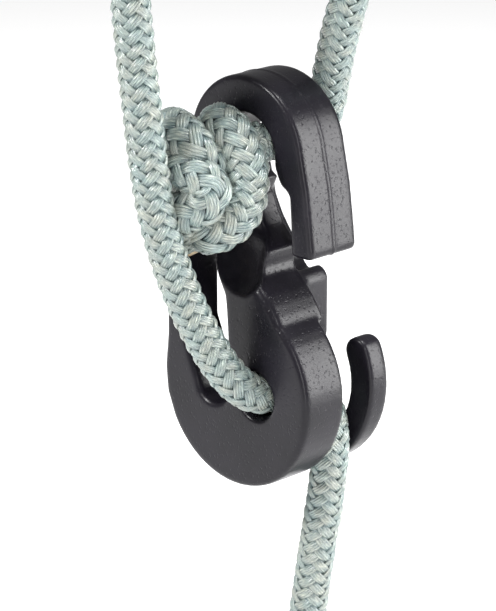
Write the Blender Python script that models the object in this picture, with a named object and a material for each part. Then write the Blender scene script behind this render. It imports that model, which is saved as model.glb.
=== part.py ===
"""A rope hook and adjuster: a moulded plastic hook whose cheek grips a running rope, while the rope's
other end, stopped by a knot, hangs in the hook's bowl. The rope's bight above holds it all up.

Sizes are in millimetres in the hook's own frame: the origin is at the middle of the cheek's front
face, +X is to the right of that face, +Y goes back through the hook and +Z is up. HOOK_AT carries
that frame into the world, whose origin is the crown of the rope's bight."""

import bisect
import math

import bmesh
import bpy
from mathutils import Matrix, Vector
from mathutils.geometry import interpolate_bezier

MM = 0.001

# ---- driving dimensions -------------------------------------------------------------------------
ROPE_D = 8.0          # outer diameter of the rope
FACE_GAP = 0.3        # room left between two solids that touch
BALL_GAP = 0.9        # room between the tail's domed end and the stretch that it swings on
HOLE_ROOM = 0.6       # room round the rope in the cheek's round hole
GROOVE_ROOM = 0.45    # room round the rope where it bends over a lip
CHANNEL_ROOM = 0.5    # spare width of the rope channel behind the cheek

CHEEK_R = 21.3        # round front cheek
CHEEK_T = 11.6
CHEEK_ROUND = 2.2     # rounding of the cheek's front rim
POST_X = -20.4        # outer side of the post beside the keyhole
POST_TOP = 29.5
SLOT_LEFT = -15.9     # the keyhole's slot, between the post and the stem
SLOT_RIGHT = -2.5
KEY_AT = (-6.3, 0.4)  # the round foot of the keyhole
KEY_R = 4.8
HOLE_AT = (6.5, 0.0)
FUNNEL_R = 5.4        # mouth of the round hole
FUNNEL_DEEP = 1.6

REAR_T = 5.8          # rear plate with its horn
REAR_R = 21.0
REAR_ROUND = 1.3
HORN_W = 6.3          # radial width of the horn
HORN_TIP = 24.5       # degrees above +X
HORN_ROOT = -34.0
PLATE_X = 1.6         # right side of the rear plate above the slot
HUB_AT = (-6.0, -12.5)
HUB_R = 6.8

CROOK_FRONT = 5.9     # front face of the bowl and leg
CROOK_T = 13.8
CROOK_FRONT_ROUND = 2.3
CROOK_BACK_ROUND = 0.9
BOWL_X = -2.7
BOWL_Z = 50.0
BOWL_WALL = 7.8
BOWL_ROOM = 4.5       # the bowl's inner radius beyond the rope's
LEG_TIP_Z = 30.3
LEG_OUT = 16.8        # outer side of the leg at its tip
TIP_ROUND = 1.5       # rounding of the tip's outer corner
SCOOP_AT = (-3.0, -0.8, 38.0)     # hollow in the stem's front: middle, half extents and lean
SCOOP_SIZE = (9.6, 7.8, 18.0)
SCOOP_LEAN = 25.0
SLOPE = ((-1.0, 25.6), (7.2, 33.6))   # the stem's front falls back from the first (y, z) to the second
STEM_SPLIT = 12.9     # where the stem's front and rear outlines meet
SHELF_X = 8.0         # right side of the block under the leg's tip
SHELF_Z = 23.7

ARC_STEP = 6.0        # degrees between the points of an arc
FINE = 25             # points read from each span of the rope's curve
END_RUN = 0.8         # straight run that squares a rope stretch's end
DOME_TURNS = (22, 52) # degrees from the pole of a domed end's rings

# ---- sizes that follow from them ----------------------------------------------------------------
ROPE_R = ROPE_D / 2
CHANNEL_BACK = CHEEK_T + ROPE_D + CHANNEL_ROOM
REAR_BACK = CHANNEL_BACK + REAR_T
CROOK_BACK = CROOK_FRONT + CROOK_T
BOWL_IN = ROPE_R + BOWL_ROOM
BOWL_OUT = BOWL_IN + BOWL_WALL
HOLE_R = ROPE_R + HOLE_ROOM
CHANNEL_MID = CHEEK_T + ROPE_R + CHANNEL_ROOM / 2
HOOK_AT = Vector((1.0, -3.0, -113.0))

# ---- the rope's route, from the knot to the tail, in the hook's frame ---------------------------
# Each stretch starts where the one above it ends.
BECKET = [(1.0, 5.7, 52.4), (1.0, 10, 52.4), (1.0, 15, 52.4), (1.0, 20.0, 52.5), (1.2, 24.0, 54.0),
          (1.9, 26.0, 58.0)]
STANDING = [(3.0, 26.0, 63.5), (5.4, 25.4, 71.0), (8.0, 24.8, 78.0)]
BIGHT = [(10.8, 24.3, 85.0), (12.0, 23.7, 93.0), (10.6, 19.8, 101.6), (6.3, 12.5, 109.3),
         (-1.0, 3.0, 113.0), (-7.2, -7.0, 110.3), (-11.2, -14.6, 103.4), (-12.0, -18.0, 94.8)]
RUNNING = [(-10.9, -18.2, 87.0), (-9.2, -18.1, 73.0), (-7.9, -18.0, 63.4), (-6.7, -17.6, 52.6),
           (-5.2, -16.8, 41.7)]
CHEEK_TURN = [(-3.5, -15.0, 31.8), (-1.4, -12.7, 22.8), (0.8, -10.0, 15.0), (3.1, -7.4, 8.9),
              (5.2, -4.3, 3.9), (6.3, 0.0, 0.8), (6.5, 4.5, -0.1), (6.5, 8.6, -0.3), (7.0, 12.4, -0.8),
              (8.9, 15.0, -2.3), (11.4, 15.8, -4.7)]
TAIL = [(12.8, CHANNEL_MID, -8.0), (13.4, CHANNEL_MID, -12.5), (12.9, CHANNEL_MID, -19.0),
        (11.9, CHANNEL_MID, -26.0), (10.3, CHANNEL_MID, -34.5), (8.9, CHANNEL_MID, -42.5),
        (7.6, CHANNEL_MID, -50.3), (6.2, CHANNEL_MID, -58.5)]

BEFORE_CHEEK = BECKET + STANDING + BIGHT + RUNNING
BEFORE_TAIL = BEFORE_CHEEK + CHEEK_TURN
POINT_STEP = ROPE_D * 0.55        # between the points of a rope solid

KNOT_AT = (-3.3, -2.5, 45.9)
KNOT_SIZE = (13.8, 7.9, 14.4)     # half extents of the stopper knot
SHORT_END = [(-10.3, -5.6, 31.9), (-10.3, -5.9, 30.7), (-10.2, -6.3, 29.5)]
SHORT_END_R = 3.4
JOINT_GAP = 1.6                   # open length where one rope stretch moves against the next


def clear_scene():
    for obj in list(bpy.data.objects):
        bpy.data.objects.remove(obj, do_unlink=True)


def material(name, colour, roughness):
    made = bpy.data.materials.new(name)
    made.use_nodes = True
    shader = made.node_tree.nodes["Principled BSDF"]
    shader.inputs["Base Color"].default_value = (*colour, 1.0)
    shader.inputs["Roughness"].default_value = roughness
    shader.inputs["Metallic"].default_value = 0.0
    return made


def arc(centre, radius, start, end):
    """Points along an arc in the X-Z plane, angles in degrees from +X towards +Z."""
    count = max(2, math.ceil(abs(end - start) / ARC_STEP) + 1)
    turns = (math.radians(start + (end - start) * i / (count - 1)) for i in range(count))
    return [(centre[0] + radius * math.cos(t), centre[1] + radius * math.sin(t)) for t in turns]


def angle_at(radius, x):
    """The angle of the upper point of a circle that stands over x."""
    return math.degrees(math.acos(x / radius))


def prism(outline, front, back, front_round=0.0, back_round=0.0):
    """A closed mesh: the outline extruded from Y front to Y back, its two rims rounded."""
    mesh = bmesh.new()
    face = mesh.faces.new([mesh.verts.new((x, front, z)) for x, z in outline])
    grown = bmesh.ops.extrude_face_region(mesh, geom=[face])
    for vert in (item for item in grown["geom"] if isinstance(item, bmesh.types.BMVert)):
        vert.co.y = back
    bmesh.ops.recalc_face_normals(mesh, faces=mesh.faces)
    for level, amount in ((front, front_round), (back, back_round)):
        rim = [edge for edge in mesh.edges if all(abs(vert.co.y - level) < 1e-6 for vert in edge.verts)]
        if amount > 0:
            bmesh.ops.bevel(mesh, geom=rim, offset=amount, segments=3, profile=0.5,
                            affect="EDGES", clamp_overlap=True)
    return mesh


def turned_y(centre, radii_at):
    """A closed round body along Y: radii_at lists (y, radius) from front to back."""
    mesh = bmesh.new()
    rings = []
    for y, radius in radii_at:
        ring = arc(centre, radius, 0, 360)[:-1]
        rings.append([mesh.verts.new((x, y, z)) for x, z in ring])
    for low, high in zip(rings, rings[1:]):
        for i in range(len(low)):
            j = (i + 1) % len(low)
            mesh.faces.new((low[i], low[j], high[j], high[i]))
    mesh.faces.new(rings[0])
    mesh.faces.new(rings[-1][::-1])
    bmesh.ops.recalc_face_normals(mesh, faces=mesh.faces)
    return mesh


def place(name, mesh, finish=None):
    """An object of the given mesh in the hook's frame, helper objects left out of renders."""
    for vert in mesh.verts:
        vert.co *= MM
    data = bpy.data.meshes.new(name)
    mesh.to_mesh(data)
    mesh.free()
    obj = bpy.data.objects.new(name, data)
    obj.location = HOOK_AT * MM
    bpy.context.scene.collection.objects.link(obj)
    if finish is None:
        obj.hide_render = True
        obj.display_type = "WIRE"
    else:
        data.materials.append(finish)
        data.shade_smooth()
        data.set_sharp_from_angle(angle=math.radians(35))
    return obj


def combine(obj, other, operation):
    step = obj.modifiers.new(f"{operation.lower()} {other.name}", "BOOLEAN")
    step.operation = operation
    step.solver = "EXACT"
    step.object = other


class Curve:
    """The smooth curve through a route, read by the length run along it."""

    def __init__(self, route):
        points = [Vector(p) for p in route]
        ends = [points[0] * 2 - points[1]] + points + [points[-1] * 2 - points[-2]]
        self.fine = []
        for i in range(1, len(ends) - 2):
            before = ends[i] + (ends[i + 1] - ends[i - 1]) / 6
            after = ends[i + 1] - (ends[i + 2] - ends[i]) / 6
            self.fine += interpolate_bezier(ends[i], before, after, ends[i + 1], FINE)[:-1]
        self.fine.append(points[-1])
        self.run = [0.0]
        for a, b in zip(self.fine, self.fine[1:]):
            self.run.append(self.run[-1] + (b - a).length)

    def length_at(self, index):
        """The length run at a point of the route."""
        return self.run[min(index * (FINE - 1), len(self.run) - 1)]

    def at(self, length):
        k = min(max(bisect.bisect_right(self.run, length) - 1, 0), len(self.run) - 2)
        share = (length - self.run[k]) / (self.run[k + 1] - self.run[k])
        return self.fine[k].lerp(self.fine[k + 1], share)

    def stretch(self, start, end, spacing):
        """Points from one length to another, each end with a short run that squares its face."""
        count = max(1, round((end - start) / spacing))
        inner = [start + (end - start) * i / count for i in range(1, count)]
        return [self.at(s) for s in (start, start + END_RUN, *inner, end - END_RUN, end)]


def dome(point, inner_point, radius):
    """(point, share of the radius) pairs that round off a tube beyond its end point, outermost first."""
    outward = (point - inner_point).normalized()
    turns = [math.radians(t) for t in DOME_TURNS]
    return [(point + outward * radius * math.cos(t), math.sin(t)) for t in turns]


def rope_tube(name, points, radius, finish, round_start=False, round_end=False):
    """A tube along points with flat or domed ends: a poly curve with a bevel and filled caps."""
    placed = [(point, 1.0) for point in points]
    if round_start:
        placed = dome(points[0], points[1], radius) + placed
    if round_end:
        placed += dome(points[-1], points[-2], radius)[::-1]
    curve = bpy.data.curves.new(name, "CURVE")
    curve.dimensions = "3D"
    curve.bevel_depth = radius * MM
    curve.bevel_resolution = 2
    curve.use_fill_caps = True
    spline = curve.splines.new("POLY")
    spline.points.add(len(placed) - 1)
    for point, (at, share) in zip(spline.points, placed):
        point.co = (*(at * MM), 1.0)
        point.radius = share
    obj = bpy.data.objects.new(name, curve)
    obj.location = HOOK_AT * MM
    bpy.context.scene.collection.objects.link(obj)
    if finish is None:
        obj.hide_render = True
        obj.display_type = "WIRE"
    else:
        curve.materials.append(finish)
    return obj


def tube_cutter(name, points, radius):
    """The room that a rope needs along its points, as a mesh cutter."""
    mesh = bmesh.new()
    rings = []
    for i, point in enumerate(points):
        along = (points[min(i + 1, len(points) - 1)] - points[max(i - 1, 0)]).normalized()
        side = along.cross(Vector((0.3, 0.2, 1.0))).normalized() if i == 0 else side_of(along, side)
        up = along.cross(side)
        turn = [math.radians(30 * k) for k in range(12)]
        ring = [point + (side * math.cos(t) + up * math.sin(t)) * radius for t in turn]
        rings.append([mesh.verts.new(at) for at in ring])
    for low, high in zip(rings, rings[1:]):
        for i in range(12):
            j = (i + 1) % 12
            mesh.faces.new((low[i], low[j], high[j], high[i]))
    mesh.faces.new(rings[0])
    mesh.faces.new(rings[-1][::-1])
    bmesh.ops.recalc_face_normals(mesh, faces=mesh.faces)
    return place(name, mesh)


def side_of(along, last_side):
    """The last ring's side direction carried on, at right angles to the new direction."""
    return (last_side - along * last_side.dot(along)).normalized()


def cheek_outline():
    """Round cheek with a post on its left and a keyhole between the post and the stem."""
    slot_top = angle_at(CHEEK_R, SLOT_RIGHT)
    right_lip = math.degrees(math.asin((SLOT_RIGHT + 0.9 - KEY_AT[0]) / KEY_R))
    outline = arc((0, 0), CHEEK_R, -150, slot_top)
    outline += [(SLOT_RIGHT, CHEEK_R * 0.8)]
    outline += arc(KEY_AT, KEY_R, 90 - right_lip, -170)
    outline += [(SLOT_LEFT, KEY_AT[1] + 10.5), (SLOT_LEFT, POST_TOP - 2.4)]
    outline += [(SLOT_LEFT - 1.0, POST_TOP - 0.5)]
    outline += [(POST_X + 2.4, POST_TOP), (POST_X + 0.7, POST_TOP - 2.0), (POST_X, POST_TOP - 6.0)]
    outline += [(POST_X, 8.0)]
    outline += [(-CHEEK_R + 0.1, 0.5), (-CHEEK_R + 0.6, -5.2)]
    return outline


def rear_outline():
    """Round plate with a slot, open at the upper right, that leaves a horn on the right."""
    horn_in = REAR_R - HORN_W
    mid = REAR_R - HORN_W / 2
    tip = math.radians(HORN_TIP)
    root_z = horn_in * math.sin(math.radians(HORN_ROOT))
    outline = arc((0, 0), REAR_R, angle_at(REAR_R, PLATE_X), 360 + HORN_TIP)
    outline += arc((mid * math.cos(tip), mid * math.sin(tip)), HORN_W / 2, HORN_TIP, HORN_TIP + 180)[1:-1]
    outline += arc((0, 0), horn_in, HORN_TIP, HORN_ROOT)
    outline += [(PLATE_X + 7.5, root_z - 1.8), (PLATE_X + 3.2, root_z + 0.4), (PLATE_X + 0.6, root_z + 4.4)]
    outline += [(PLATE_X, root_z + 9.5)]
    return outline


def crook_outline():
    """The bowl and its leg: an outer and an inner arc, closed at the leg's tip and at the stem."""
    middle = (BOWL_X, BOWL_Z)
    outline = arc(middle, BOWL_OUT, 205, 8)
    outline += [(LEG_OUT - 1.6, BOWL_Z - 5.5), (LEG_OUT - 0.6, BOWL_Z - 13.0)]
    outline += arc((LEG_OUT - TIP_ROUND, LEG_TIP_Z + TIP_ROUND), TIP_ROUND, 0, -90)
    outline += [(LEG_OUT - 6.0, LEG_TIP_Z), (LEG_OUT - 6.3, 37.0), (LEG_OUT - 6.7, 43.0), (9.0, 44.1)]
    outline += [(7.7, 44.7), (6.7, 46.4)]
    outline += arc(middle, BOWL_IN, -8, 250)
    outline += [(BOWL_X - 4.4, BOWL_Z - 11.1), (BOWL_X - 11.0, BOWL_Z - 13.1)]
    return outline


def stem_front_outline():
    """The stem's front half, from the bowl down into the cheek, with a small nub under the leg."""
    return [(-15.0, 45.0), (-12.9, 39.5), (-9.3, 32.0), (-6.2, 25.6), (-3.2, 20.2), (-2.5, 15.0),
            (-1.5, 11.0), (10.2, 11.0), (13.5, 16.2), (12.2, 18.4), (10.5, 20.6), (8.8, 22.4), (7.0, 23.8),
            (5.4, 25.4), (4.9, 27.4),
            (5.6, 29.2), (5.6, 30.6), (4.2, 32.4), (2.1, 34.6), (0.5, 37.2), (-0.9, 40.2), (-3.0, 43.6),
            (-8.0, 46.6)]


def stem_rear_outline():
    """The stem's rear half, narrower at the waist, with a shelf that faces the leg's tip."""
    return [(-14.6, 44.6), (-12.4, 39.1), (-8.8, 31.6), (-5.7, 25.2), (-3.0, 18.4), (-2.2, 9.0),
            (SHELF_X, 9.0), (SHELF_X, SHELF_Z - 1.2), (SHELF_X - 0.9, SHELF_Z + 0.2), (5.6, SHELF_Z + 0.9),
            (3.9, 23.6),
            (2.4, 23.2), (0.6, 25.0), (-2.7, 30.2), (-5.2, 33.6), (-7.2, 37.4), (-9.0, 44.8)]


def scoop():
    """A long egg, leaning like the stem, that hollows the stem's front."""
    mesh = bmesh.new()
    bmesh.ops.create_icosphere(mesh, subdivisions=3, radius=1.0)
    lean = Matrix.Rotation(math.radians(-SCOOP_LEAN), 3, "Y")
    for vert in mesh.verts:
        vert.co = lean @ Vector(c * s for c, s in zip(vert.co, SCOOP_SIZE)) + Vector(SCOOP_AT)
    return mesh


def slope_block():
    """The space in front of the stem's sloping front, above the slope's foot."""
    (low_y, low_z), (high_y, high_z) = SLOPE
    wide = CHEEK_R + ROPE_D
    profile = [(low_y, low_z), (high_y, high_z), (high_y, high_z + wide)]
    profile += [(low_y - 1, high_z + wide), (low_y - 1, low_z)]
    mesh = bmesh.new()
    sides = [[mesh.verts.new((x, y, z)) for y, z in profile] for x in (-wide, wide)]
    for i in range(len(profile)):
        j = (i + 1) % len(profile)
        mesh.faces.new((sides[0][i], sides[0][j], sides[1][j], sides[1][i]))
    mesh.faces.new(sides[0])
    mesh.faces.new(sides[1][::-1])
    bmesh.ops.recalc_face_normals(mesh, faces=mesh.faces)
    return mesh


def make_hook(finish, rope):
    hook = place("hook_body", prism(cheek_outline(), 0, CHEEK_T, CHEEK_ROUND, 0.6), finish)
    stem = place("stem_front", prism(stem_front_outline(), 0, STEM_SPLIT + 0.5, 1.6, 0))
    combine(stem, place("scoop", scoop()), "DIFFERENCE")
    combine(stem, place("slope", slope_block()), "DIFFERENCE")
    combine(hook, stem, "UNION")
    added = {
        "crook": prism(crook_outline(), CROOK_FRONT, CROOK_BACK, CROOK_FRONT_ROUND, CROOK_BACK_ROUND),
        "stem_rear": prism(stem_rear_outline(), STEM_SPLIT - 0.5, CHANNEL_BACK + 0.6, 0, 0.6),
        "hub": turned_y(HUB_AT, [(CHEEK_T - 1, HUB_R), (CHANNEL_BACK + 1, HUB_R)]),
        "rear_plate": prism(rear_outline(), CHANNEL_BACK, REAR_BACK, 0.6, REAR_ROUND),
    }
    for name, mesh in added.items():
        combine(hook, place(name, mesh), "UNION")
    mouth = [(-1.0, FUNNEL_R + 1.0), (0.0, FUNNEL_R), (FUNNEL_DEEP, HOLE_R), (CHEEK_T + 1.5, HOLE_R)]
    combine(hook, place("round_hole", turned_y(HOLE_AT, mouth)), "DIFFERENCE")
    start, end = rope.length_at(len(BEFORE_CHEEK)), rope.length_at(len(BEFORE_TAIL))
    in_cheek = rope.stretch(start, end + ROPE_D, ROPE_D / 3)
    combine(hook, tube_cutter("rope_groove", in_cheek, ROPE_R + GROOVE_ROOM), "DIFFERENCE")
    in_bowl = rope.stretch(0, rope.length_at(len(BECKET + STANDING)), ROPE_D / 3)
    combine(hook, tube_cutter("bowl_groove", in_bowl, ROPE_R + FACE_GAP), "DIFFERENCE")
    return hook


def make_knot(finish):
    """The stopper knot's outer shape, a flattened ball."""
    mesh = bmesh.new()
    bmesh.ops.create_icosphere(mesh, subdivisions=3, radius=1.0)
    for vert in mesh.verts:
        vert.co = Vector(c * s for c, s in zip(vert.co, KNOT_SIZE)) + Vector(KNOT_AT)
    return place("stopper_knot", mesh, finish)


def make_rope(finish, rope):
    """The rope's stretches, in order from the knot to the tail, each a solid of its own."""
    half = FACE_GAP / 2
    slack = JOINT_GAP / 2
    stretches = [
        ("rope_becket_turn", [], BECKET, 0, half),
        ("rope_standing_part", BECKET, STANDING, half, half),
        ("rope_bight", BECKET + STANDING, BIGHT, half, half),
        ("rope_running_part", BECKET + STANDING + BIGHT, RUNNING, half, slack),
        ("rope_cheek_turn", BEFORE_CHEEK, CHEEK_TURN, slack, ROPE_R + BALL_GAP),
    ]
    for name, before, own, start_gap, end_gap in stretches:
        start = rope.length_at(len(before)) + start_gap
        end = rope.length_at(len(before) + len(own)) - end_gap
        rope_tube(name, rope.stretch(start, end, POINT_STEP), ROPE_R, finish)
    start, end = rope.length_at(len(BEFORE_TAIL)), rope.run[-1]
    tail = rope.stretch(start, end, POINT_STEP * 1.4)
    rope_tube("rope_tail", tail, ROPE_R, finish, round_start=True, round_end=True)
    short = [Vector(p) for p in SHORT_END]
    rope_tube("knot_short_end", short, SHORT_END_R, finish, round_end=True)


def main():
    clear_scene()
    plastic = material("moulded_plastic", (0.020, 0.018, 0.019), 0.42)
    braid = material("braided_rope", (0.33, 0.44, 0.39), 0.62)
    rope = Curve(BEFORE_TAIL + TAIL)
    make_hook(plastic, rope)
    make_knot(braid)
    make_rope(braid, rope)


main()
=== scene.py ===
"""The looks of a rope hook and adjuster: a moulded black plastic hook on one braided rope.

Route points are in millimetres of the hook's frame, and in_world carries them into the world's metres.
The standing part, running part and tail are cut from one braid, so its strands run on unbroken. The
knot has a braid of its own."""
import math

import bmesh
import bpy
import numpy as np
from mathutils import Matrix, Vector


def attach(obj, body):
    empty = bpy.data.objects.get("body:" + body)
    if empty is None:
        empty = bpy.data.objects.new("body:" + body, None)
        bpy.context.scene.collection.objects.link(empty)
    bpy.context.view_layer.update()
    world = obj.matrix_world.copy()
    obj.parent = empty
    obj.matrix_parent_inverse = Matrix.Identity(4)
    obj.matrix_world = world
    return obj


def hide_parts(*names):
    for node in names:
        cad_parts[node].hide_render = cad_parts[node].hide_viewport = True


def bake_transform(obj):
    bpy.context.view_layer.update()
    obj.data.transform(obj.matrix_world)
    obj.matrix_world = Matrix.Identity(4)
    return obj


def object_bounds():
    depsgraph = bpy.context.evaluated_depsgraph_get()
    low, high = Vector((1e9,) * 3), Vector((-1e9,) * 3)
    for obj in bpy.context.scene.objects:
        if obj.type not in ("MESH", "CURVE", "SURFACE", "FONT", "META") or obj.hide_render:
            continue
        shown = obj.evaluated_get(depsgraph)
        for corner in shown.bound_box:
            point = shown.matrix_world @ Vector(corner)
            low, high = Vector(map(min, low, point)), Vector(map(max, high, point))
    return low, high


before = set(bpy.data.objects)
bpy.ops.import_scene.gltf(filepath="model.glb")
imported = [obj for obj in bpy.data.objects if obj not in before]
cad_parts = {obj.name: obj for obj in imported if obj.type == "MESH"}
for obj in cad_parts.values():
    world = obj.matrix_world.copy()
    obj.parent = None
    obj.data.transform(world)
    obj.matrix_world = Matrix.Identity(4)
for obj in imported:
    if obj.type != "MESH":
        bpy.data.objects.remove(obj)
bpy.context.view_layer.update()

MM = 0.001

# ---- the rope and its route, as in the CAD ------------------------------------------------------
CHANNEL_MID = 15.85     # Y of the rope in the channel behind the cheek
HOOK_AT = np.array([1.0, -3.0, -113.0])      # the hook's frame in the world, in millimetres
BECKET = [(1.0, 5.7, 52.4), (1.0, 10, 52.4), (1.0, 15, 52.4), (1.0, 20.0, 52.5), (1.2, 24.0, 54.0),
          (1.9, 26.0, 58.0)]
STANDING = [(3.0, 26.0, 63.5), (5.4, 25.4, 71.0), (8.0, 24.8, 78.0)]
BIGHT = [(10.8, 24.3, 85.0), (12.0, 23.7, 93.0), (10.6, 19.8, 101.6), (6.3, 12.5, 109.3),
         (-1.0, 3.0, 113.0), (-7.2, -7.0, 110.3), (-11.2, -14.6, 103.4), (-12.0, -18.0, 94.8)]
RUNNING = [(-10.9, -18.2, 87.0), (-9.2, -18.1, 73.0), (-7.9, -18.0, 63.4), (-6.7, -17.6, 52.6),
           (-5.2, -16.8, 41.7)]
CHEEK_TURN = [(-3.5, -15.0, 31.8), (-1.4, -12.7, 22.8), (0.8, -10.0, 15.0), (3.1, -7.4, 8.9),
              (5.2, -4.3, 3.9), (6.3, 0.0, 0.8), (6.5, 4.5, -0.1), (6.5, 8.6, -0.3), (7.0, 12.4, -0.8),
              (8.9, 15.0, -2.3), (11.4, 15.8, -4.7)]
TAIL = [(12.8, CHANNEL_MID, -8.0), (13.4, CHANNEL_MID, -12.5), (12.9, CHANNEL_MID, -19.0),
        (11.9, CHANNEL_MID, -26.0), (10.3, CHANNEL_MID, -34.5), (8.9, CHANNEL_MID, -42.5),
        (7.6, CHANNEL_MID, -50.3), (6.2, CHANNEL_MID, -58.5)]
ROUTE = BECKET + STANDING + BIGHT + RUNNING + CHEEK_TURN + TAIL
CROWN = len(BECKET + STANDING) + 4           # the route's point at the top of the bight
TAIL_FROM = len(ROUTE) - len(TAIL)
LINE_STEP = 2.0                              # between the points of a cord's centre line

# The knot's strand, from the end in the bowl to the sealed end. Each point is right, up and forward
# of KNOT_AT, as view_axes gives those directions.
KNOT_AT = np.array([-3.3, -2.5, 45.9])
KNOT_STRAND = [
    (9.9, 7.4, -1.6), (8.0, 6.8, -1.2), (5.2, 5.6, -2.6), (1.5, 5.0, -5.0), (-2.4, 6.6, -6.4),
    (-6.2, 9.0, -5.4), (-8.2, 10.2, -2.0), (-6.6, 9.0, 2.0), (-4.0, 6.3, 4.3), (-1.6, 3.6, 3.4),
    (1.0, 1.0, -0.4), (2.8, 0.6, -4.4), (4.0, 4.0, -6.2), (2.6, 8.8, -5.2), (1.2, 11.2, -1.6),
    (4.3, 8.6, 2.2), (6.6, 3.3, 2.8), (6.9, -2.3, 2.2), (5.6, -6.7, 2.0), (2.9, -9.6, 1.8),
    (-0.8, -10.9, 0.8), (-3.6, -8.8, -2.6), (-6.4, -5.2, -4.8), (-8.8, -0.8, -4.4), (-9.0, 2.0, -1.2),
    (-6.8, 1.8, 3.2), (-3.2, 0.2, 5.7), (-0.7, -2.3, 5.9), (-1.6, -5.0, 5.4), (-4.6, -6.6, 4.0),
    (-6.3, -8.6, 1.4), (-6.0, -11.4, -2.0), (-5.4, -13.2, -4.4)]
KNOT_FAT = 1.17         # how much the strand spreads where the knot is drawn tight

# ---- the braid ----------------------------------------------------------------------------------
CARRIERS = 8            # strands that turn one way; as many turn the other way
YARNS = 4               # yarns laid side by side in a strand
LAY = 23.0              # length in which a strand goes once round
BRAID_R = 3.38          # mean radius of the strands
BRAID_WAVE = 0.46       # how far a strand rises over the one it crosses, and sinks under the next
YARN_R = 0.345
YARN_SIDES = 5
YARN_FLAT = 1.12        # a yarn's width to its thickness
YARN_SHARE = 0.90       # share of a strand's room that its yarns take
EDGE_DROP = 0.10        # how much lower a strand lies half a strand's room from its middle
STRAY = 0.03            # spread of the yarns' heights
SWELL = 0.02            # how far a yarn rises and sinks along its length
SWELL_TURN = 1.9        # radians of that swell in a millimetre
SWELL_START = 9.0       # the swell starts at a random angle up to this, in radians
THINNEST, THIN_SPREAD = 0.96, 0.08      # a yarn's thickness is YARN_R times the one plus up to the other
UV_PER_MM = 0.1         # the yarn finish runs by this much in a millimetre of rope
UV_ROUND = 0.1          # and by this much once round a yarn
UV_SHIFT = 7.0          # each yarn starts at a random place up to this
UV_CORE = 0.02          # the finish on the core, for a radian
BRAID_STEP = 0.55       # between the rings of a yarn
CORE_R = 3.0
CORE_SIDES = 16
CORE_EVERY = 4          # the core has a ring for so many rings of a yarn
TAIL_NARROWS, KNOT_NARROWS = 3.0, 3.5   # length over which a braid narrows to its sealed end
NARROWEST = 0.45        # share of its radius that a braid loses at a sealed end
# A strand's height sets how much painted shade the rope's finish gives it.
LOWEST, HIGHEST = 3.05, 4.15    # the radii between which a strand's height runs from 0 to 1
ROPE_SEED, KNOT_SEED = 3, 8

# ---- the sealed ends ----------------------------------------------------------------------------
TIP_R = 3.0
TIP_LONG = 2.4
TIP_RINGS, TIP_SIDES = 14, 28
TIP_BEFORE = (-0.5, -0.2)       # turns of the two rings inside the braid, in radians
TIP_LAST = math.pi / 2 - 0.06   # turn of the last ring, which leaves a small flat
TIP_LOOK = 0.2                  # length of the path's last stretch, which gives the tip its direction

# ---- camera -------------------------------------------------------------------------------------
AZIMUTH, ELEVATION = math.radians(45), math.radians(18)
DISTANCE = 0.6
VIEW_WIDE = 104.42105           # width of the view at the middle of the cheek, in millimetres
AIM_RIGHT, AIM_UP = 3.15789, 17.78947   # the middle of the view from the middle of the cheek
SENSOR = 36.0


def in_world(points):
    """Points of the hook's frame in millimetres as world points in metres."""
    return (np.asarray(points, float) + HOOK_AT) * MM


def view_axes():
    """Right, up and towards the camera, as unit vectors, for a camera at AZIMUTH and ELEVATION."""
    right = np.array([math.cos(AZIMUTH), math.sin(AZIMUTH), 0.0])
    forward = np.array([math.sin(AZIMUTH) * math.cos(ELEVATION), -math.cos(AZIMUTH) * math.cos(ELEVATION),
                        math.sin(ELEVATION)])
    return right, np.cross(forward, right), forward


# ---- paths --------------------------------------------------------------------------------------
FRAME_STEP = 0.25                        # between the places where a path's turn is summed up
FIRST_SIDE = np.array([1.0, 0.15, 0.1])  # made square to the path, this is a side before its turn back


class Path:
    """The smooth curve through a list of points, read by its length.

    Each span between two points p and q is a cubic whose slope at a point is half the step from the
    point before it to the point after it, and the ends go straight on."""

    def __init__(self, route, fine=24):
        p = np.asarray(route, float)
        p = np.vstack([2 * p[0] - p[1], p, 2 * p[-1] - p[-2]])
        t = (np.arange(fine) / fine)[None, :, None]
        a, b = p[1:-2, None], p[2:-1, None]
        slope_a, slope_b = (p[2:-1, None] - p[:-3, None]) / 2, (p[3:, None] - p[1:-2, None]) / 2
        spans = (a * (2 * t**3 - 3 * t**2 + 1) + slope_a * (t**3 - 2 * t**2 + t)
                 + b * (3 * t**2 - 2 * t**3) + slope_b * (t**3 - t**2))
        self.fine = np.vstack([spans.reshape(-1, 3), p[-2]])
        self.run = np.concatenate([[0], np.cumsum(np.linalg.norm(np.diff(self.fine, axis=0), axis=1))])
        self.knots = self.run[::fine]
        self.length = self.run[-1]

    def at(self, lengths):
        """The points at the lengths."""
        return np.stack([np.interp(lengths, self.run, self.fine[:, k]) for k in range(3)], axis=-1)

    def frames(self, lengths):
        """Place, side and up vectors at the lengths, without twist along the path.

        Each side is FIRST_SIDE made square to the path. How far each side has turned about the path
        from the one before it is then summed up and taken back."""
        every = np.arange(0, self.length + FRAME_STEP, FRAME_STEP)
        place = self.at(every)
        along = np.gradient(place, axis=0)
        along /= np.linalg.norm(along, axis=1, keepdims=True)
        side = FIRST_SIDE - along * (along @ FIRST_SIDE)[:, None]
        side /= np.linalg.norm(side, axis=1, keepdims=True)
        up = np.cross(along, side)
        turn = np.arctan2((side[1:] * up[:-1]).sum(1), (side[1:] * side[:-1]).sum(1))
        turn = np.concatenate([[0], np.cumsum(turn)])[:, None]
        even_side = side * np.cos(turn) - up * np.sin(turn)
        even_up = side * np.sin(turn) + up * np.cos(turn)

        def read(field):
            return np.stack([np.interp(lengths, every, field[:, k]) for k in range(3)], axis=-1)

        return self.at(lengths), read(even_side), read(even_up)


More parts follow.
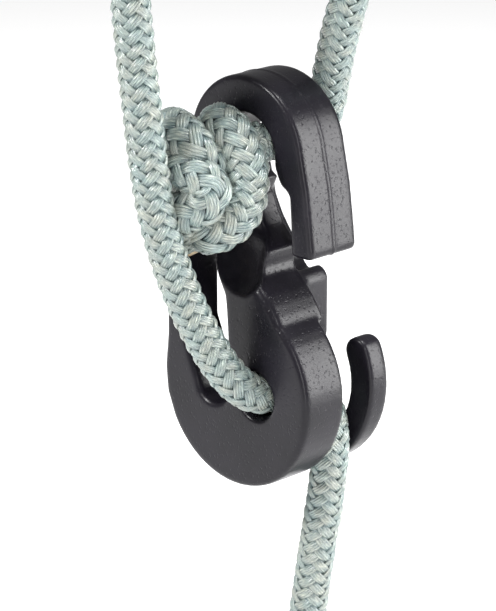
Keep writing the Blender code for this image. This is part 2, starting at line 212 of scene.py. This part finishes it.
# ---- meshes -------------------------------------------------------------------------------------
def mesh_piece(name, points, faces, finish, height=None, uv=None):
    """An object of points in metres. height gives each point a value from 0 to 1, and uv a pair."""
    mesh = bpy.data.meshes.new(name)
    mesh.from_pydata(points.tolist(), [], faces)
    if height is not None:
        layer = mesh.attributes.new("height", "FLOAT", "POINT")
        layer.data.foreach_set("value", height.astype(np.float32))
    if uv is not None:
        corner = np.empty(len(mesh.loops), np.int32)
        mesh.loops.foreach_get("vertex_index", corner)
        layer = mesh.uv_layers.new(name="UVMap")
        layer.data.foreach_set("uv", uv[corner].astype(np.float32).ravel())
    mesh.materials.append(finish)
    mesh.shade_smooth()
    mesh.update()
    obj = bpy.data.objects.new(name, mesh)
    bpy.context.scene.collection.objects.link(obj)
    return obj


def tube_faces(rings, sides, first=0):
    """Quads between closed rings of points, and a face over each end."""
    i = np.arange(rings - 1)[:, None] * sides + first
    j = np.arange(sides)[None, :]
    k = (j + 1) % sides
    quads = np.stack([i + j, i + k, i + k + sides, i + j + sides], axis=-1).reshape(-1, 4)
    ends = [list(range(first + sides - 1, first - 1, -1)),
            list(range(first + (rings - 1) * sides, first + rings * sides))]
    return quads.tolist() + ends


def braid(name, path, start, end, finish, narrow_end=0.0, fat=1.0, seed=1):
    """A braided rope along a path, from one length to another.

    Strand k of the first way stands at the angle 45 k + 360 s / LAY degrees at length s, and of the
    other way at 45 k + 22.5 - 360 s / LAY. The first way's radius is BRAID_R + BRAID_WAVE cos 4a at
    the angle a, and the other way's BRAID_R - BRAID_WAVE cos 4a, so each strand runs over two and
    under two. A strand is YARNS round yarns side by side, each a small tube of its own. A yarn lies
    lower towards its strand's edge, and strays and swells a little."""
    drawn = np.random.default_rng(seed)
    s = np.linspace(start, end, max(3, round((end - start) / BRAID_STEP)) + 1)
    place, side, up = path.frames(s)
    shrink = np.full_like(s, fat)
    if narrow_end > 0:
        shrink *= 1 - NARROWEST * np.clip(1 - (end - s) / narrow_end, 0, 1) ** 2
    points, faces, heights, uvs = [], [], [], []
    count = 0
    pitch = 2 * math.pi / CARRIERS
    ring = np.arange(YARN_SIDES) * 2 * math.pi / YARN_SIDES
    for way in (1, -1):
        for k in range(CARRIERS):
            for yarn in range(YARNS):
                across = (yarn - (YARNS - 1) / 2) / YARNS * YARN_SHARE
                middle = pitch * (k + (0 if way > 0 else 0.5)) + way * 2 * math.pi * s / LAY
                angle = middle + across * pitch
                drop = -EDGE_DROP * (2 * across) ** 2
                radius = BRAID_R + way * BRAID_WAVE * np.cos(CARRIERS / 2 * middle) + drop
                stray = STRAY * drawn.standard_normal()
                swell = SWELL * np.sin(s * SWELL_TURN + SWELL_START * drawn.random())
                radius = (radius + stray + swell) * shrink
                out = side * np.cos(angle)[:, None] + up * np.sin(angle)[:, None]
                centre = place + out * radius[:, None]
                run = np.gradient(centre, axis=0)
                run /= np.linalg.norm(run, axis=1, keepdims=True)
                flat = np.cross(run, out)
                flat /= np.linalg.norm(flat, axis=1, keepdims=True)
                lift = np.cross(flat, run)
                thick = YARN_R * (THINNEST + THIN_SPREAD * drawn.random()) * shrink
                grown = (lift[:, None] * np.cos(ring)[None, :, None]
                         + flat[:, None] * YARN_FLAT * np.sin(ring)[None, :, None])
                yarn_points = centre[:, None] + grown * thick[:, None, None]
                points.append(yarn_points.reshape(-1, 3))
                # This height drives the rope's painted shade: the lower a point, the darker it is
                # painted.
                above = np.linalg.norm(yarn_points - place[:, None], axis=2) / shrink[:, None]
                heights.append(np.clip((above - LOWEST) / (HIGHEST - LOWEST), 0, 1).ravel())
                faces += tube_faces(len(s), YARN_SIDES, count)
                count += len(s) * YARN_SIDES
                turn = np.tile(np.arange(YARN_SIDES) / YARN_SIDES, len(s)) * UV_ROUND
                length = np.repeat(s, YARN_SIDES) * UV_PER_MM
                uvs.append(np.stack([turn + drawn.random() * UV_SHIFT, length], axis=-1))
    rows = np.unique(np.append(np.arange(0, len(s), CORE_EVERY), len(s) - 1))
    ring = np.arange(CORE_SIDES) * 2 * math.pi / CORE_SIDES
    out = (side[rows][:, None] * np.cos(ring)[None, :, None]
           + up[rows][:, None] * np.sin(ring)[None, :, None])
    core = place[rows][:, None] + out * (CORE_R * shrink[rows])[:, None, None]
    points.append(core.reshape(-1, 3))
    faces += tube_faces(len(rows), CORE_SIDES, count)
    # The core lies lowest and takes the darkest painted shade.
    heights.append(np.zeros(len(rows) * CORE_SIDES))
    turn = np.tile(ring, len(rows)) * UV_CORE
    uvs.append(np.stack([turn, np.repeat(s[rows], CORE_SIDES) * UV_PER_MM], axis=-1))
    return mesh_piece(name, in_world(np.vstack(points)), faces, finish, np.concatenate(heights),
                      np.vstack(uvs))


# ---- materials ----------------------------------------------------------------------------------
def new_material(name):
    """A material, and its nodes, links and shader."""
    made = bpy.data.materials.new(name)
    made.use_nodes = True
    tree = made.node_tree
    return made, tree.nodes, tree.links, tree.nodes["Principled BSDF"]


def ramp(nodes, stops):
    """A colour ramp with the given (place, colour) stops."""
    node = nodes.new("ShaderNodeValToRGB")
    stops_made = node.color_ramp.elements
    while len(stops_made) < len(stops):
        stops_made.new(0.5)
    for element, (at, colour) in zip(stops_made, stops):
        element.position = at
        element.color = (*colour, 1.0)
    return node


def noise(nodes, links, coords, scale, detail=3.0, stretch=(1.0, 1.0, 1.0)):
    """Noise of so many cells a metre, or of the coordinates' own unit, stretched by a mapping."""
    mapping = nodes.new("ShaderNodeMapping")
    mapping.inputs["Scale"].default_value = stretch
    links.new(coords, mapping.inputs["Vector"])
    made = nodes.new("ShaderNodeTexNoise")
    made.inputs["Scale"].default_value = scale
    made.inputs["Detail"].default_value = detail
    links.new(mapping.outputs["Vector"], made.inputs["Vector"])
    return made


def multiplied(nodes, links, first, second):
    """The product of two colours."""
    node = nodes.new("ShaderNodeMix")
    node.data_type = "RGBA"
    node.blend_type = "MULTIPLY"
    node.inputs["Factor"].default_value = 1.0
    links.new(first, node.inputs["A"])
    links.new(second, node.inputs["B"])
    return node.outputs["Result"]


def braided_rope():
    """Sage-green filament yarn: fine filaments run along each yarn, with warmer and bluer patches. The
    lightest, yellowish filament streaks are partly a painted highlight of glints on the filaments.

    The height attribute darkens the rope and turns it bluer towards the valleys between the strands and
    on the core: painted shade."""
    made, nodes, links, shader = new_material("braided_rope")
    place = nodes.new("ShaderNodeTexCoord")
    filaments = noise(nodes, links, place.outputs["UV"], 1.0, 2.0, (260.0, 9.0, 1.0))
    patches = noise(nodes, links, place.outputs["Object"], 260.0, 2.0)
    # Filament tones vary at random along each yarn. The lightest, yellowish stop is partly a painted
    # highlight, standing for glints on the filaments.
    yarn = ramp(nodes, [(0.32, (0.105, 0.130, 0.138)), (0.50, (0.215, 0.245, 0.248)),
                        (0.68, (0.52, 0.54, 0.48))])
    links.new(filaments.outputs["Fac"], yarn.inputs["Fac"])
    tint = ramp(nodes, [(0.35, (0.80, 0.93, 0.93)), (0.65, (1.0, 0.99, 0.92))])
    links.new(patches.outputs["Fac"], tint.inputs["Fac"])
    height = nodes.new("ShaderNodeAttribute")
    height.attribute_name = "height"
    # Painted shade: darker and bluer where a yarn lies low, between the strands and on the core.
    shade = ramp(nodes, [(0.10, (0.10, 0.15, 0.17)), (0.50, (0.55, 0.63, 0.65)),
                         (0.90, (1.0, 1.0, 0.97))])
    links.new(height.outputs["Fac"], shade.inputs["Fac"])
    tinted = multiplied(nodes, links, yarn.outputs["Color"], tint.outputs["Color"])
    links.new(multiplied(nodes, links, tinted, shade.outputs["Color"]), shader.inputs["Base Color"])
    bump = nodes.new("ShaderNodeBump")
    bump.inputs["Strength"].default_value = 0.5
    bump.inputs["Distance"].default_value = 0.00012
    links.new(filaments.outputs["Fac"], bump.inputs["Height"])
    links.new(bump.outputs["Normal"], shader.inputs["Normal"])
    shader.inputs["Roughness"].default_value = 0.24
    shader.inputs["Specular IOR Level"].default_value = 1.0
    shader.inputs["Sheen Weight"].default_value = 0.15
    shader.inputs["Sheen Roughness"].default_value = 0.4
    return made


def sealed_end():
    """Tan yarn fused by heat, with a few darker burnt specks."""
    made, nodes, links, shader = new_material("sealed_end")
    place = nodes.new("ShaderNodeTexCoord")
    specks = noise(nodes, links, place.outputs["Object"], 900.0, 4.0)
    colour = ramp(nodes, [(0.32, (0.20, 0.13, 0.075)), (0.50, (0.47, 0.37, 0.24)),
                          (0.72, (0.66, 0.58, 0.42))])
    links.new(specks.outputs["Fac"], colour.inputs["Fac"])
    links.new(colour.outputs["Color"], shader.inputs["Base Color"])
    bump = nodes.new("ShaderNodeBump")
    bump.inputs["Strength"].default_value = 0.6
    bump.inputs["Distance"].default_value = 0.0002
    links.new(specks.outputs["Fac"], bump.inputs["Height"])
    links.new(bump.outputs["Normal"], shader.inputs["Normal"])
    shader.inputs["Roughness"].default_value = 0.33
    return made


def moulded_plastic():
    """Black moulded nylon: a faint flow mottle, fine pits and worn, smoother patches."""
    made, nodes, links, shader = new_material("moulded_plastic")
    place = nodes.new("ShaderNodeTexCoord")
    mottle = noise(nodes, links, place.outputs["Object"], 85.0, 4.0)
    colour = ramp(nodes, [(0.30, (0.0050, 0.0045, 0.0066)), (0.70, (0.0100, 0.0088, 0.0128))])
    links.new(mottle.outputs["Fac"], colour.inputs["Fac"])
    links.new(colour.outputs["Color"], shader.inputs["Base Color"])
    gloss = nodes.new("ShaderNodeMapRange")
    gloss.inputs["To Min"].default_value = 0.22
    gloss.inputs["To Max"].default_value = 0.38
    links.new(mottle.outputs["Fac"], gloss.inputs["Value"])
    links.new(gloss.outputs["Result"], shader.inputs["Roughness"])
    grain = noise(nodes, links, place.outputs["Object"], 2600.0, 3.0)
    pits = noise(nodes, links, place.outputs["Object"], 1500.0, 1.0)
    pit_depth = ramp(nodes, [(0.22, (0.0, 0.0, 0.0)), (0.40, (1.0, 1.0, 1.0))])
    links.new(pits.outputs["Fac"], pit_depth.inputs["Fac"])
    fine = nodes.new("ShaderNodeBump")
    fine.inputs["Strength"].default_value = 0.22
    fine.inputs["Distance"].default_value = 0.00006
    links.new(grain.outputs["Fac"], fine.inputs["Height"])
    coarse = nodes.new("ShaderNodeBump")
    coarse.inputs["Strength"].default_value = 0.40
    coarse.inputs["Distance"].default_value = 0.00010
    links.new(pit_depth.outputs["Color"], coarse.inputs["Height"])
    links.new(fine.outputs["Normal"], coarse.inputs["Normal"])
    links.new(coarse.outputs["Normal"], shader.inputs["Normal"])
    shader.inputs["Specular IOR Level"].default_value = 0.22
    return made


def plain_floor():
    """A matt, near-white floor that gives off a little light of its own."""
    made, nodes, links, shader = new_material("floor")
    shader.inputs["Base Color"].default_value = (0.90, 0.90, 0.90, 1.0)
    shader.inputs["Roughness"].default_value = 0.8
    shader.inputs["Emission Color"].default_value = (1.0, 1.0, 1.0, 1.0)
    shader.inputs["Emission Strength"].default_value = 0.30
    return made


# ---- pieces -------------------------------------------------------------------------------------
VOXEL = 0.42
SMOOTHING = 10          # times that the remade surface is relaxed
SAME_POINT = 1e-6       # points closer than this, in metres, are one
PARTING_Y = 12.9        # the mould's parting line, in the hook's frame
PARTING_HALF = 0.30
PARTING_PROUD = 0.17


def remade_from_voxels(obj):
    """The mesh of an object with its points merged, remade from voxels and relaxed."""
    merged = bmesh.new()
    merged.from_mesh(obj.data)
    bmesh.ops.remove_doubles(merged, verts=merged.verts, dist=SAME_POINT)
    merged.to_mesh(obj.data)
    merged.free()
    remade = obj.modifiers.new("voxels", "REMESH")
    remade.mode = "VOXEL"
    remade.voxel_size = VOXEL * MM
    remade.use_smooth_shade = True
    relaxed = obj.modifiers.new("relaxed", "SMOOTH")
    relaxed.factor = 0.5
    relaxed.iterations = SMOOTHING
    done = bpy.data.meshes.new_from_object(obj.evaluated_get(bpy.context.evaluated_depsgraph_get()))
    obj.modifiers.clear()
    return done


def raise_parting_line(mesh):
    """The thin ridge that a mould leaves where its halves meet.

    A point at the distance d from the parting plane rises along its normal by PARTING_PROUD times e
    to the power of -(d / PARTING_HALF)^2, times 1 less the size of the normal's Y."""
    count = len(mesh.vertices)
    at = np.empty(count * 3, np.float32)
    normal = np.empty(count * 3, np.float32)
    mesh.vertices.foreach_get("co", at)
    mesh.vertex_normals.foreach_get("vector", normal)
    at, normal = at.reshape(-1, 3), normal.reshape(-1, 3)
    off = (at[:, 1] / MM - HOOK_AT[1] - PARTING_Y) / PARTING_HALF
    bell = np.exp(-off**2) * (1 - np.abs(normal[:, 1])) * PARTING_PROUD * MM
    mesh.vertices.foreach_set("co", (at + normal * bell[:, None]).astype(np.float32).ravel())


def hook_moulding(finish):
    """The CAD hook with the soft edges and the parting line of a moulding."""
    obj = bpy.data.objects.new("hook_moulding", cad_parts["hook_body"].data.copy())
    bpy.context.scene.collection.objects.link(obj)
    obj.data = remade_from_voxels(obj)
    raise_parting_line(obj.data)
    obj.data.materials.clear()
    obj.data.materials.append(finish)
    obj.data.shade_smooth()
    obj.data.update()
    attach(obj, "hook")
    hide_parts("hook_body")


def fused_tip(name, path, start, finish):
    """The strand's heat-sealed end: a rounded, lumpy plug past a length of the path.

    The ring at the turn t stands TIP_LONG sin t past the start, or TIP_R t past it where t is below
    0. Its radius at the angle a is TIP_R cos t, or TIP_R where t is below 0, times
    1 + 0.06 sin 3a + 0.04 sin (5a + 2t)."""
    place, side, up = path.frames(np.array([start - TIP_LOOK, start]))
    along = place[1] - place[0]
    along /= np.linalg.norm(along)
    turn = np.concatenate([TIP_BEFORE, np.linspace(0, TIP_LAST, TIP_RINGS - len(TIP_BEFORE))])[:, None]
    angle = (np.arange(TIP_SIDES) * 2 * math.pi / TIP_SIDES)[None, :]
    lumps = 1 + 0.06 * np.sin(3 * angle) + 0.04 * np.sin(5 * angle + 2 * turn)
    radius = TIP_R * np.cos(np.clip(turn, 0, None)) * lumps
    ahead = np.where(turn < 0, turn * TIP_R, TIP_LONG * np.sin(turn)) * np.ones_like(angle)
    points = (place[1] + along * ahead[..., None] + side[1] * (radius * np.cos(angle))[..., None]
              + up[1] * (radius * np.sin(angle))[..., None])
    return mesh_piece(name, in_world(points.reshape(-1, 3)), tube_faces(TIP_RINGS, TIP_SIDES), finish)


def declare_cord(path, start, end, backwards=False):
    """The centre line of a cord along the path, from one length to another, turned round if backwards;
    nothing takes the line up.
    """
    line = in_world(path.at(np.linspace(start, end, round((end - start) / LINE_STEP) + 1)))
    if backwards:
        line = line[::-1]


def standing_rope(rope, finish):
    """The rope from the bowl up to the crown of the bight."""
    piece = braid("standing_rope", rope, 0.0, rope.knots[CROWN], finish, seed=ROPE_SEED)
    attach(piece, "rope")
    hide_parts("rope_becket_turn", "rope_standing_part", "rope_bight")
    return piece


def running_rope(rope, finish):
    """The rope from the crown of the bight down through the cheek."""
    piece = braid("running_rope", rope, rope.knots[CROWN], rope.knots[TAIL_FROM], finish, seed=ROPE_SEED)
    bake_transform(piece)
    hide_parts("rope_running_part", "rope_cheek_turn")
    return piece


def rope_tail(rope, finish, end_finish):
    """The rope that hangs below the cheek, and its sealed end."""
    piece = braid("rope_tail_braid", rope, rope.knots[TAIL_FROM], rope.length, finish,
                  narrow_end=TAIL_NARROWS, seed=ROPE_SEED)
    tip = fused_tip("rope_tail_tip", rope, rope.length, end_finish)
    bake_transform(piece)
    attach(tip, "tail")
    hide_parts("rope_tail")
    return piece, tip


def stopper_knot(finish, end_finish):
    """The knot that keeps the rope's end from running through the bowl, and its sealed end."""
    strand = Path(KNOT_AT + np.asarray(KNOT_STRAND) @ np.stack(view_axes()))
    piece = braid("stopper_knot_strand", strand, 0.0, strand.length, finish,
                  narrow_end=KNOT_NARROWS, fat=KNOT_FAT, seed=KNOT_SEED)
    tip = fused_tip("knot_sealed_tip", strand, strand.length, end_finish)
    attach(piece, "knot")
    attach(tip, "knot")
    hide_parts("stopper_knot")
    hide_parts("knot_short_end")
    return piece, tip


# ---- camera, lights and floor -------------------------------------------------------------------
def place_camera():
    """Looks down at ELEVATION from AZIMUTH, aimed AIM_RIGHT and AIM_UP of the cheek's middle."""
    right, up, back = view_axes()
    centre = (HOOK_AT + right * AIM_RIGHT + up * AIM_UP) * MM
    data = bpy.data.cameras.new("camera")
    data.sensor_fit = "HORIZONTAL"
    data.sensor_width = SENSOR
    data.lens = SENSOR * DISTANCE / (VIEW_WIDE * MM)
    data.clip_start = 0.01
    camera = bpy.data.objects.new("camera", data)
    camera.location = centre + back * DISTANCE
    camera.rotation_euler = Vector(-back).to_track_quat("-Z", "Y").to_euler()
    bpy.context.scene.collection.objects.link(camera)
    bpy.context.scene.camera = camera


FLOOR_HALF = 6.0
FLOOR_BELOW = 0.004     # the floor's distance below the lowest point
LIGHTS = [              # name, place, width and height, power
    ("key", (-0.20, -0.55, 0.42), (0.14, 0.18), 7.0),
    ("side", (0.42, 0.38, 0.02), (0.18, 0.50), 5.0),
    ("top", (0.10, 0.10, 0.55), (0.14, 0.14), 3.5),
    ("strip", (0.44, -0.28, 0.06), (0.035, 0.45), 1.5)]


def soft_light(name, place, towards, size, watts):
    """A white rectangular lamp at a place, turned towards another."""
    data = bpy.data.lights.new(name, "AREA")
    data.shape = "RECTANGLE"
    data.size, data.size_y = size
    data.energy = watts
    lamp = bpy.data.objects.new(name, data)
    lamp.location = place
    lamp.rotation_euler = (Vector(towards) - Vector(place)).to_track_quat("-Z", "Y").to_euler()
    bpy.context.scene.collection.objects.link(lamp)


def studio():
    """A pale floor under the rope's tail, a near-white surround and soft boxes."""
    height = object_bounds()[0].z - FLOOR_BELOW
    corners = [(-FLOOR_HALF, -FLOOR_HALF, height), (FLOOR_HALF, -FLOOR_HALF, height),
               (FLOOR_HALF, FLOOR_HALF, height), (-FLOOR_HALF, FLOOR_HALF, height)]
    floor = bpy.data.meshes.new("floor")
    floor.from_pydata(corners, [], [(0, 1, 2, 3)])
    floor.materials.append(plain_floor())
    ground = bpy.data.objects.new("floor", floor)
    bpy.context.scene.collection.objects.link(ground)
    world = bpy.data.worlds.new("surround")
    world.use_nodes = True
    world.node_tree.nodes["Background"].inputs["Color"].default_value = (1.0, 1.0, 1.0, 1.0)
    world.node_tree.nodes["Background"].inputs["Strength"].default_value = 0.27
    bpy.context.scene.world = world
    for name, place, size, watts in LIGHTS:
        soft_light(name, place, tuple(HOOK_AT * MM), size, watts)
    bpy.context.scene.view_settings.view_transform = "Standard"


# ---- scene --------------------------------------------------------------------------------------
plastic = moulded_plastic()
rope_finish = braided_rope()
end_finish = sealed_end()
hook_moulding(plastic)
rope = Path(ROUTE)
standing = standing_rope(rope, rope_finish)
running = running_rope(rope, rope_finish)
tail, tail_tip = rope_tail(rope, rope_finish, end_finish)
knot, knot_tip = stopper_knot(rope_finish, end_finish)

crown, tail_from = rope.knots[CROWN], rope.knots[TAIL_FROM]
declare_cord(rope, 0.0, crown, backwards=True)
declare_cord(rope, crown, tail_from, backwards=True)
declare_cord(rope, tail_from, rope.length)

place_camera()
studio()
